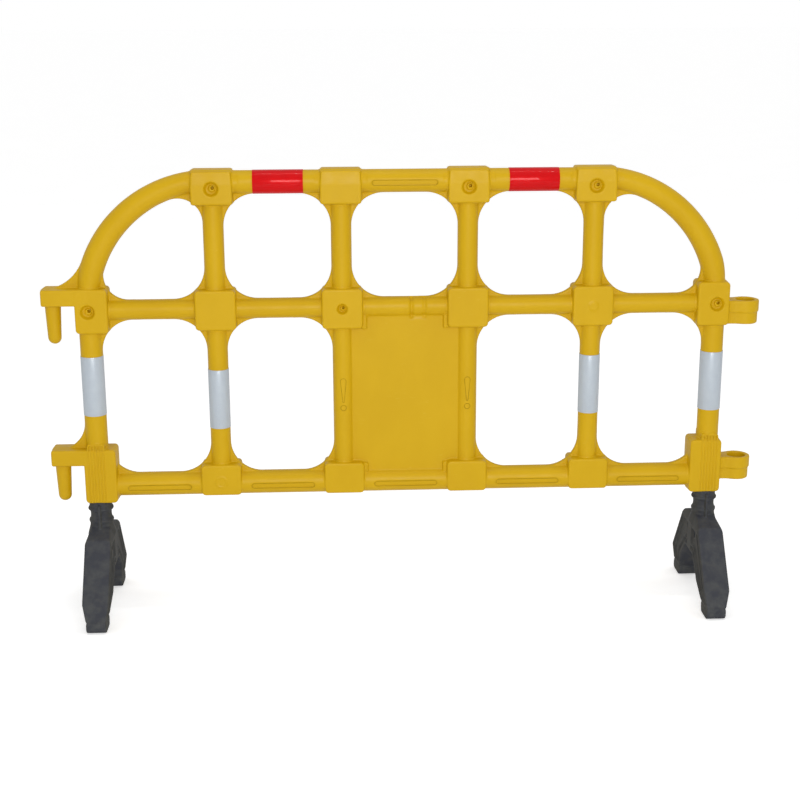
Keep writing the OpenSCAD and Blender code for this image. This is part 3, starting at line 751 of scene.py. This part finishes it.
def buildFoot():
    half, end = nodeSize("left_foot") / 2, standH + foot["spigotLength"]
    low, high = (-half[0] - 3, -half[1] - 3, -3), (half[0] + 3, half[1] + 3, end + 4)
    field = Field(low, high, foot["gridStep"])
    side, front = footOutlines()
    top, edge, rim = standH - foot["neckLength"], foot["edgeRadius"], foot["rim"]

    def body(x, y, z):
        fromSide = polygonDistance(y, z, side)
        whole = cornerDistance(fromSide + edge, polygonDistance(x, z, front) + edge) - edge
        inside, slope, far = -fromSide, foot["slope"], rim + foot["band"]
        band = smoothStep(inside, rim, rim + slope) * smoothStep(-inside, -far, slope - far)
        heart = smoothStep(inside, far + 3, far + 3 + slope)
        # the ribs fan out from the neck, and the crown and the soles stay solid
        reach = smoothStep(np.abs(y), 16, 20) * smoothStep(top - z, 26, 34) * smoothStep(z, 30, 34)
        return whole + foot["grooveDepth"] * np.maximum(band, heart * 0.9) * reach * (np.abs(x) > 8)

    field.add((-half[0], -half[1], 0), (half[0], half[1], top), body)
    root = top - 20
    field.add((-30, -30, root), (30, 30, end),
              lambda x, y, z: np.maximum(np.hypot(x, y) - neckRadius(z), np.maximum(root - z, z - end)), 5.0)
    (fin, out), finLow, finHigh = foot["fin"], top - 14, standH - 4
    field.add((-fin, -out, finLow), (fin, out, finHigh),
              lambda x, y, z: thicken(roundedRect(y, z, -out, out, finLow, finHigh, 5), x, fin, 1.2), 0.8)
    # a cored hole high on each side of each leg
    (place, drop), (wide, tall) = foot["hole"], foot["holeSize"]
    for at in (-place, place):
        field.cut((-half[0], at - wide, top - drop - tall), (half[0], at + wide, top - drop + tall),
                  lambda x, y, z: np.maximum((np.hypot((y - at) / wide, (z - top + drop) / tall) - 1) * wide,
                                             half[0] - 13 - np.abs(x)), 1.5)
    # the line where the sole block starts
    line, height = foot["soleLine"], foot["soleHeight"]
    field.press(low, high, lambda x, y, z: line * np.exp(-((z - height) / line) ** 2))
    field.soften()
    return field


def newGeometryTree(name, *lengths, **others):
    # each tree takes lengths, other inputs by their type, and a material; the sockets come back
    tree = bpy.data.node_groups.new(name, "GeometryNodeTree")
    for label, kind in {**others, **dict.fromkeys(lengths, "Float"), "Material": "Material"}.items():
        tree.interface.new_socket(label, in_out="INPUT", socket_type="NodeSocket" + kind)
    tree.interface.new_socket("Geometry", in_out="OUTPUT", socket_type="NodeSocketGeometry")
    return tree, newNode(tree, "NodeGroupInput").outputs


def endTree(tree, geometry, material):
    # every tree ends in plain geometry with its finish on it
    real = addNode(tree, "GeometryNodeRealizeInstances", {"Geometry": geometry})
    smooth = addNode(tree, "GeometryNodeSetShadeSmooth", {"Geometry": real})
    finish = addNode(tree, "GeometryNodeSetMaterial", {"Geometry": smooth, "Material": material})
    newNode(tree, "NodeGroupOutput", {0: finish})
    return tree


def grow(name, tree, material, values, base=None):
    # runs the tree once and keeps its result as a plain mesh
    made = newObject(name, base or bpy.data.meshes.new(name))
    modifier = made.modifiers.new("shape", "NODES")
    modifier.node_group = tree
    values = {**values, "Material": material}
    for item in tree.interface.items_tree:
        if item.in_out == "INPUT" and item.name in values:
            modifier[item.identifier] = values[item.name]
    bpy.context.view_layer.update()
    ready = made.evaluated_get(bpy.context.evaluated_depsgraph_get())
    mesh = bpy.data.meshes.new_from_object(ready)
    made.modifiers.remove(modifier)
    made.data = mesh
    mesh.name = name
    mesh.set_sharp_from_angle(angle=math.radians(28))
    return made


def sweep(tree, path, section, material):
    swept = addNode(tree, "GeometryNodeCurveToMesh", {"Curve": path, "Profile Curve": section})
    return endTree(tree, swept, material)


def circle(tree, resolution, radius):
    return addNode(tree, "GeometryNodeCurvePrimitiveCircle", {"Resolution": resolution, "Radius": radius},
                   mode="RADIUS")


def sleeveTree():
    # a strip of film swept round a tube, with its cut edges eased
    tree, given = newGeometryTree("filmSleeve", "Radius", "Thickness", "Length", "Edge")
    middle = maths(tree, "MULTIPLY_ADD", given["Thickness"], 0.5, given["Radius"])
    upright = addNode(tree, "GeometryNodeSetCurveNormal", {"Curve": circle(tree, 144, middle)}, mode="Z_UP")
    section = addNode(tree, "GeometryNodeCurvePrimitiveQuadrilateral",
                      {"Width": given["Thickness"], "Height": given["Length"]}, mode="RECTANGLE")
    eased = addNode(tree, "GeometryNodeFilletCurve", {
        "Curve": section, "Count": 2, "Limit Radius": True, "Radius": given["Edge"]}, mode="POLY")
    return sweep(tree, upright, eased, given["Material"])


def ridgeTree():
    # a row of half-sunk rods with round ends, each a ball drawn out along its axis
    tree, given = newGeometryTree("gripRidges", "Pitch", "Radius", "Length", Count="Int", Start="Vector")
    step = addNode(tree, "ShaderNodeCombineXYZ", {"X": given["Pitch"]})
    row = addNode(tree, "GeometryNodeMeshLine",
                  {"Count": given["Count"], "Start Location": given["Start"], "Offset": step}, mode="OFFSET")
    ball = addNode(tree, "GeometryNodeMeshUVSphere", {"Segments": 20, "Rings": 11, "Radius": given["Radius"]})
    height = addNode(tree, "ShaderNodeSeparateXYZ", {0: addNode(tree, "GeometryNodeInputPosition")}, "Z")
    far = maths(tree, "MULTIPLY", given["Length"], 0.5)
    shift = maths(tree, "MULTIPLY", maths(tree, "SIGN", height), far)
    rod = addNode(tree, "GeometryNodeSetPosition",
                  {"Geometry": ball, "Offset": addNode(tree, "ShaderNodeCombineXYZ", {"Z": shift})})
    rods = addNode(tree, "GeometryNodeInstanceOnPoints", {"Points": row, "Instance": rod})
    return endTree(tree, rods, given["Material"])


def beadTree():
    # a fine raised line along any drawn path
    tree, given = newGeometryTree("raisedLine", "Radius", Path="Geometry")
    curve = addNode(tree, "GeometryNodeMeshToCurve", {"Mesh": given["Path"]})
    return sweep(tree, curve, circle(tree, 10, given["Radius"]), given["Material"])


film = {"edge": 0.25, "thickness": 0.8, "redShift": 3.5}   # redShift is along the rail, to the right
ridges = {"count": 6, "pitch": 6.5, "radius": 1.35, "above": 13, "inset": 3, "sunk": 0.2}
warning = {"top": 510, "length": 52, "topRadius": 6.0, "endRadius": 1.6, "dotRadius": 5.8, "dotDrop": 12,
               "line": 0.75}
grooveRim = {"line": 0.6, "sunk": 0.3}


def makeSleeve(name, tree, material):
    # a red sleeve lies along the top rail, a white one stands on its upright
    size, middle = nodeSize(name), nodeMiddle(name)
    lying = name.startswith("red")
    inner = size[1] / 2 - film["thickness"]
    made = grow(name + "_film", tree, material, {
        "Radius": inner * mm, "Thickness": film["thickness"] * mm,
        "Length": size[0 if lying else 2] * mm, "Edge": film["edge"] * mm})
    turn = Matrix.Rotation(math.radians(90), 4, "Y") if lying else Matrix.Identity(4)
    middle[0] += film["redShift"] if lying else 0
    made.data.transform(Matrix.Translation(Vector(middle * mm)) @ turn)
    return made


def makeRidges(name, x, tree, material):
    low, high = about(bottomZ, "socket")
    length = high - low + ridges["above"] - 2 * ridges["inset"]
    halves = []
    for face in (-1, 1):
        start = Vector((x - (ridges["count"] - 1) / 2 * ridges["pitch"],
                        face * (knuckleDepth / 2 - ridges["sunk"]), low + ridges["inset"] + length / 2))
        halves.append(grow(name + str(face), tree, material, {
            "Count": ridges["count"], "Pitch": ridges["pitch"] * mm, "Radius": ridges["radius"] * mm,
            "Length": (length - 2 * ridges["radius"]) * mm, "Start": start * mm}))
    return joinPieces(name, halves, material)


def joinPieces(name, parts, material):
    joined = bmesh.new()
    for part in parts:
        joined.from_mesh(part.data)
    for face in joined.faces:
        face.material_index = 0
    mesh = bpy.data.meshes.new(name)
    joined.to_mesh(mesh)
    joined.free()
    mesh.materials.append(material)
    for part in parts:
        bpy.data.objects.remove(part)
    return newObject(name, mesh)


def arc(x, z, radius, start, end, count):
    return [(x + radius * math.cos(a), z + radius * math.sin(a)) for a in np.linspace(start, end, count)]


def drawLoops(name, loops, place):
    # closed outlines laid on a surface; place turns (across, up) into a point
    points, edges = [], []
    for loop in loops:
        first = len(points)
        points += [[c * mm for c in place(u, w)] for u, w in loop]
        edges += [(first + i, first + (i + 1) % len(loop)) for i in range(len(loop))]
    mesh = bpy.data.meshes.new(name)
    mesh.from_pydata(points, edges, [])
    return mesh


def warningPath(x):
    # a long wedge with round ends over a small ring, drawn on the front of an upright
    top, end = warning["topRadius"], warning["endRadius"]
    high = warning["top"] - top
    low = warning["top"] - warning["length"] + end
    lean = math.asin((top - end) / (high - low))
    wedge = arc(0, high, top, -lean, math.pi + lean, 19)
    wedge += arc(0, low, end, math.pi + lean, 2 * math.pi - lean, 11)
    dot = arc(0, low - end - warning["dotDrop"], warning["dotRadius"], 0, 2 * math.pi, 25)[:-1]
    return drawLoops("warningPath", [wedge, dot], lambda u, w: (x + u, -math.sqrt(innerR ** 2 - u ** 2), w))


def groovePath(x, z, drop, radius):
    # the rim of a rail's pressed stadium
    halfLength, halfHeight = shell["grooveSize"]
    cap = arc(halfLength - halfHeight, drop, halfHeight, -math.pi / 2, math.pi / 2, 11)
    loop = cap + [(-u, w) for u, w in cap[::-1]]
    return drawLoops("groovePath", [loop], lambda u, w: (
        x + u, -math.sqrt(radius ** 2 - w ** 2) + grooveRim["sunk"], z + w))


def perMetre(size):
    # a pattern's scale from the size in millimetres of one of its features
    return 1 / (size * mm)


def noise(tree, place, size, detail=3.0, roughness=0.5, stretch=None):
    if stretch:
        place = addNode(tree, "ShaderNodeMapping", {"Scale": stretch, "Vector": place})
    return addNode(tree, "ShaderNodeTexNoise", {"Scale": perMetre(size), "Detail": detail,
                                                "Roughness": roughness, "Vector": place}, "Fac")


def mixColour(tree, amount, first, second):
    first, second = (hexColour(c) if isinstance(c, str) else c for c in (first, second))
    return addNode(tree, "ShaderNodeMix", {0: amount, 6: first, 7: second}, 2, data_type="RGBA")


def spread(tree, source, fromLow, fromHigh, toLow, toHigh):
    # maps one range of values to another, and holds them there
    return addNode(tree, "ShaderNodeMapRange", dict(enumerate((source, fromLow, fromHigh, toLow, toHigh))))


def dress(tree, shader, colour, roughness, *layers):
    # layers are (height, depth in millimetres) pairs, from the broadest to the finest
    last = None
    for height, depth in layers:
        inputs = {"Strength": 1.0, "Distance": depth * mm, "Height": height}
        last = addNode(tree, "ShaderNodeBump", {**inputs, "Normal": last} if last else inputs)
    for key, source in (("Base Color", colour), ("Roughness", roughness), ("Normal", last)):
        tree.links.new(source, shader.inputs[key])


# sizes and depths are in millimetres, and a pair is a range
polyethyleneLook = {
    "main": "#cca303", "deep": "#caa002", "light": "#cfa606", "scuff": "#dcbd4a",
    # creases holds the darker tones of the moulded lines, painted shade
    "creases": ("#a98807", "#b99607"), "roughness": (0.36, 0.50), "flowSize": 90, "rubSize": 6,
    "patchSize": 130, "sheenSize": 24, "peelSize": 1.8, "peelDepth": 0.03, "waveSize": 38,
    "waveDepth": 0.07, "seam": (0.4, 0.9)}


def polyethylene():
    # blow-moulded polyethylene: satin, with soft flow marks, orange peel and a few rubbed streaks
    look = polyethyleneLook
    material, tree, shader, place = newMaterial("blowMouldedPolyethylene", IOR=1.51, Specular_IOR_Level=0.22)
    flow = noise(tree, place, look["flowSize"], 3, 0.55, (1, 1, 0.55))
    base = ramp(tree, flow, (0.30, look["deep"]), (0.68, look["light"]), (0.48, look["main"]))
    rub = spread(tree, noise(tree, place, look["rubSize"], 5, 0.62, (0.35, 1, 1.6)), 0.62, 0.70, 0, 1)
    patch = spread(tree, noise(tree, place, look["patchSize"], 2), 0.52, 0.66, 0, 0.35)
    rubbed = maths(tree, "MULTIPLY", rub, patch)
    seam = maths(tree, "ABSOLUTE", addNode(tree, "ShaderNodeSeparateXYZ", {0: place}, "Y"))
    trimmed = spread(tree, seam, look["seam"][0] * mm, look["seam"][1] * mm, 0.35, 0)
    worn = maths(tree, "MAXIMUM", rubbed, trimmed)
    sheen = spread(tree, noise(tree, place, look["sheenSize"], 4), 0.3, 0.7, *look["roughness"])
    colour = mixColour(tree, worn, base, look["scuff"])
    dress(tree, shader, colour, maths(tree, "MULTIPLY_ADD", worn, 0.3, sheen),
          (noise(tree, place, look["waveSize"], 1), look["waveDepth"]),
          (noise(tree, place, look["peelSize"], 2), look["peelDepth"]), (rubbed, 0.03))
    return material


def paintedShadePolyethylene():
    # the same plastic, darker, in the narrow moulded lines: painted shade along their edges
    material, tree, shader, place = newMaterial("paintedShadePolyethylene", Roughness=0.65, IOR=1.51,
                                                Specular_IOR_Level=0.15)
    dark, light = polyethyleneLook["creases"]
    tone = ramp(tree, noise(tree, place, 20, 3), (0.35, dark), (0.65, light))
    tree.links.new(tone, shader.inputs["Base Color"])
    return material


rubberLook = {
    "main": "#35373e", "brown": "#383836", "dust": "#63645f", "dustHeight": 70, "dustSize": 26,
    "roughness": (0.62, 0.8), "waveSize": 18, "waveDepth": 0.25, "grainSize": 1.6, "grainDepth": 0.08}


def rubber():
    # moulded rubber: matt, finely pitted, bluish on the faces, brownish on the sides, dustier low down
    look = rubberLook
    material, tree, shader, place = newMaterial("mouldedRubber", IOR=1.52, Specular_IOR_Level=0.3)
    normal = addNode(tree, "ShaderNodeTexCoord", output="Normal")
    turned = maths(tree, "ABSOLUTE", addNode(tree, "ShaderNodeSeparateXYZ", {0: normal}, "X"))
    cast = mixColour(tree, spread(tree, turned, 0.25, 0.85, 0, 1), look["main"], look["brown"])
    cloud = noise(tree, place, look["dustSize"], 4, 0.6)
    height = addNode(tree, "ShaderNodeSeparateXYZ", {0: place}, "Z")
    low = spread(tree, height, 0.0, look["dustHeight"] * mm, 0.55, 0.30)
    dusty = maths(tree, "MULTIPLY", spread(tree, cloud, 0.42, 0.68, 0, 1), low)
    dress(tree, shader, mixColour(tree, dusty, cast, look["dust"]),
          spread(tree, cloud, 0.3, 0.7, *look["roughness"]),
          (noise(tree, place, look["waveSize"], 2), look["waveDepth"]),
          (noise(tree, place, look["grainSize"], 3, 0.6), look["grainDepth"]))
    return material


filmLook = {
    "white": {"main": "#bac3cb", "deep": "#b6bfc8", "glow": "#c6cdd3", "coat": 0.30, "shine": 0.25},
    "red": {"main": "#d00006", "deep": "#cc0006", "glow": "#d6161e", "coat": 0.30, "shine": 0.05},
    "cellSize": 3.4, "mottleSize": 14, "waveSize": 30, "waveDepth": 0.12, "cellDepth": 0.02,
    "roughness": (0.30, 0.44),
}


def reflectiveFilm(colour):
    # glass beads under a clear skin: faint cells, a slight metal sheen and soft handling marks
    look = filmLook[colour]
    material, tree, shader, place = newMaterial(
        colour + "ReflectiveFilm", IOR=1.5, Metallic=0.12, Coat_Weight=look["coat"], Coat_Roughness=0.08,
        Specular_IOR_Level=look["shine"])
    cells = addNode(tree, "ShaderNodeTexVoronoi", {
        "Scale": perMetre(filmLook["cellSize"]), "Randomness": 0.35, "Vector": place}, "Distance",
        feature="DISTANCE_TO_EDGE")
    edge = spread(tree, cells, 0.02, 0.09, 1, 0)
    mottle = noise(tree, place, filmLook["mottleSize"], 4)
    base = ramp(tree, mottle, (0.32, look["deep"]), (0.66, look["main"]))
    dress(tree, shader, mixColour(tree, maths(tree, "MULTIPLY", edge, 0.22), base, look["glow"]),
          spread(tree, mottle, 0.3, 0.7, *filmLook["roughness"]),
          (noise(tree, place, filmLook["waveSize"], 2), filmLook["waveDepth"]), (edge, filmLook["cellDepth"]))
    return material


yellow = polyethylene()
paintedShadeYellow = paintedShadePolyethylene()
black = rubber()
films = {colour: reflectiveFilm(colour) for colour in ("white", "red")}
print("finishes made")


def settle(made, body, finish, *nodes):
    # the piece moves with its body and stands for its CAD nodes
    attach(made, body)
    if nodes:
        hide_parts(*nodes)


# each middle bay holds the same pieces round its upright, and what is listed here besides
bayExtras = [["top_rail_left"], ["top_rail_centre", "sign_panel"], ["top_rail_right"], ["shoulder_right"]]
bayNodes = [["upper_end_left", "foot_socket_left", "lower_post_1", "upper_hook", "lower_hook", "mid_rail_1",
             "bottom_rail_1", "shoulder_left"]]
for i, extras in enumerate(bayExtras, 1):
    own = [kind % i for kind in ("top_knuckle_%d", "upper_post_%d", "mid_knuckle_%d")]
    own += ["lower_post_%d" % (i + 1), "bottom_knuckle_%d" % i, "mid_rail_%d" % (i + 1)]
    bayNodes.append(own + ["bottom_rail_%d" % (i + 1)] + extras)
bayNodes.append(["upper_end_right", "foot_socket_right", "lower_post_6", "upper_eye", "lower_eye"])

field = buildMoulding()
points, quads, normals, cells = field.skin()
# the skin is one surface, kept as six closed pieces that meet in the middle of the bays
cuts = [int(np.searchsorted(field.axes[0], (i - 2) * pitch)) for i in range(5)]
bay = np.searchsorted(cuts, cells[quads][:, :, 0].min(axis=1), side="right")
for i, nodes in enumerate(bayNodes):
    made = skinObject("moulding_bay_%d" % (i + 1), points, quads[bay == i], normals, yellow)
    settle(made, "frame", "yellow_polyethylene", *nodes)
    print(made.name, len(made.data.polygons), "faces")

points, quads, normals, cells = buildFoot().skin()
for side in ("left", "right"):
    shift = np.array([nodeMiddle(side + "_foot")[0], 0, 0])
    made = skinObject(side + "_foot_rubber", points + shift, quads, normals, black)
    settle(made, side + "_foot", "black_rubber", side + "_foot")
print("feet", len(quads), "faces each")

tree = sleeveTree()
for name in ["red_sleeve_left", "red_sleeve_right"] + ["white_sleeve_%d" % i for i in range(1, 5)]:
    colour = name.split("_")[0]
    settle(makeSleeve(name, tree, films[colour]), "frame", colour + "_reflective_film", name)
tree = ridgeTree()
for side, x in (("left", postX[0]), ("right", postX[5])):
    settle(makeRidges("socket_ridges_" + side, x, tree, yellow), "frame", "yellow_polyethylene")
lines = [("warning_outline_%d" % (i + 1), warning, warningPath(postX[i])) for i in (2, 3)]
lowDrop, highDrop = shell["grooveDrop"]
for i in range(5):
    path = groovePath((postX[i] + postX[i + 1]) / 2, bottomZ, lowDrop, bottomR)
    lines.append(("groove_rim_%d" % (i + 1), grooveRim, path))
lines.append(("groove_rim_6", grooveRim, groovePath(0, topZ, highDrop, topR)))
# the raised lines take the darker yellow, painted shade along the groove rims and the warning marks
tree = beadTree()
for name, look, path in lines:
    made = grow(name, tree, paintedShadeYellow, {"Radius": look["line"] * mm}, path)
    settle(made, "frame", "yellow_polyethylene")
print("sleeves, ridges and outlines made")


studio = {"ambient": 0.62, "backdrop": 1.0, "floorLift": 0.42, "floorReach": 60.0, "floorCorner": 3.0,
          "floorTones": ("#f5f5f5", "#f7f7f7")}
# place, aim, size and power of each light
lights = {"frontSoftbox": ((0.1, -3.6, 1.5), (0, 0, 0.55), (1.8, 1.2), 54),
          "overheadSoftbox": ((0.3, -0.4, 3.4), (0, 0, 0.5), (3.2, 2.0), 3),
          "stripLight": ((0, -0.12, 3.2), (0, 0, 0.8), (3.0, 0.06), 9)}
view = {"place": (-0.1552, -3.0129, 1.2841), "turn": 2.748, "tilt": 15.352, "roll": -0.194, "lens": 66.08,
        "sensor": 36}


def floorFinish():
    # pale painted board, nearly even
    material, tree, shader, place = newMaterial("paleBoard", Roughness=0.9, IOR=1.5)
    dark, light = studio["floorTones"]
    tone = ramp(tree, noise(tree, place, 400, 2), (0.3, dark), (0.7, light))
    tree.links.new(tone, shader.inputs["Base Color"])
    # the sheet itself reads nearly white to the camera without throwing that light on the object
    seen = addNode(tree, "ShaderNodeLightPath", output="Is Camera Ray")
    shader.inputs["Emission Color"].default_value = hexColour("#ffffff")
    tree.links.new(maths(tree, "MULTIPLY", seen, studio["floorLift"]), shader.inputs["Emission Strength"])
    return material


def makeFloor():
    # a wide sheet, cut round at its corners
    corner, straight = studio["floorCorner"], studio["floorReach"] - studio["floorCorner"]
    turns = [(math.cos(a), math.sin(a)) for a in np.linspace(0, 2 * math.pi, 64, endpoint=False)]
    shaper = bmesh.new()
    ring = [[straight * math.copysign(1, t) + corner * t for t in turn] + [0] for turn in turns]
    shaper.faces.new([shaper.verts.new(point) for point in ring])
    mesh = bpy.data.meshes.new("floor")
    shaper.to_mesh(mesh)
    shaper.free()
    mesh.materials.append(floorFinish())
    newObject("floor", mesh)


def makeLight(name, place, aim, size, power):
    lamp = bpy.data.lights.new(name, "AREA")
    lamp.shape = "RECTANGLE"
    lamp.size, lamp.size_y = size
    lamp.energy = power
    made = newObject(name, lamp)
    made.location = place
    made.rotation_euler = (Vector(aim) - Vector(place)).to_track_quat("-Z", "Y").to_euler()


def makeWorld():
    # white behind the object, dimmer as light
    world = bpy.data.worlds.new("studio")
    world.use_nodes = True
    tree = world.node_tree
    background = tree.nodes["Background"].inputs
    background["Color"].default_value = hexColour("#ffffff")
    seen = addNode(tree, "ShaderNodeLightPath", output="Is Camera Ray")
    strength = maths(tree, "MULTIPLY_ADD", seen, studio["backdrop"] - studio["ambient"], studio["ambient"])
    tree.links.new(strength, background["Strength"])
    bpy.context.scene.world = world


def makeCamera():
    camera = bpy.data.cameras.new("camera")
    camera.lens, camera.sensor_width = view["lens"], view["sensor"]
    turn, tilt, roll = (math.radians(view[key]) for key in ("turn", "tilt", "roll"))
    ahead = Vector((math.sin(turn) * math.cos(tilt), math.cos(turn) * math.cos(tilt), -math.sin(tilt)))
    level = Vector((math.cos(turn), -math.sin(turn), 0))
    upward = level.cross(ahead)
    right = level * math.cos(roll) + upward * math.sin(roll)
    above = upward * math.cos(roll) - level * math.sin(roll)
    placed = Matrix((right, above, -ahead)).transposed().to_4x4()
    placed.translation = view["place"]
    holder = newObject("camera", camera)
    holder.matrix_world = placed
    bpy.context.scene.camera = holder


bpy.context.scene.view_settings.view_transform = "Standard"
makeFloor()
for name, setting in lights.items():
    makeLight(name, *setting)
makeWorld()
makeCamera()
print("stage set")
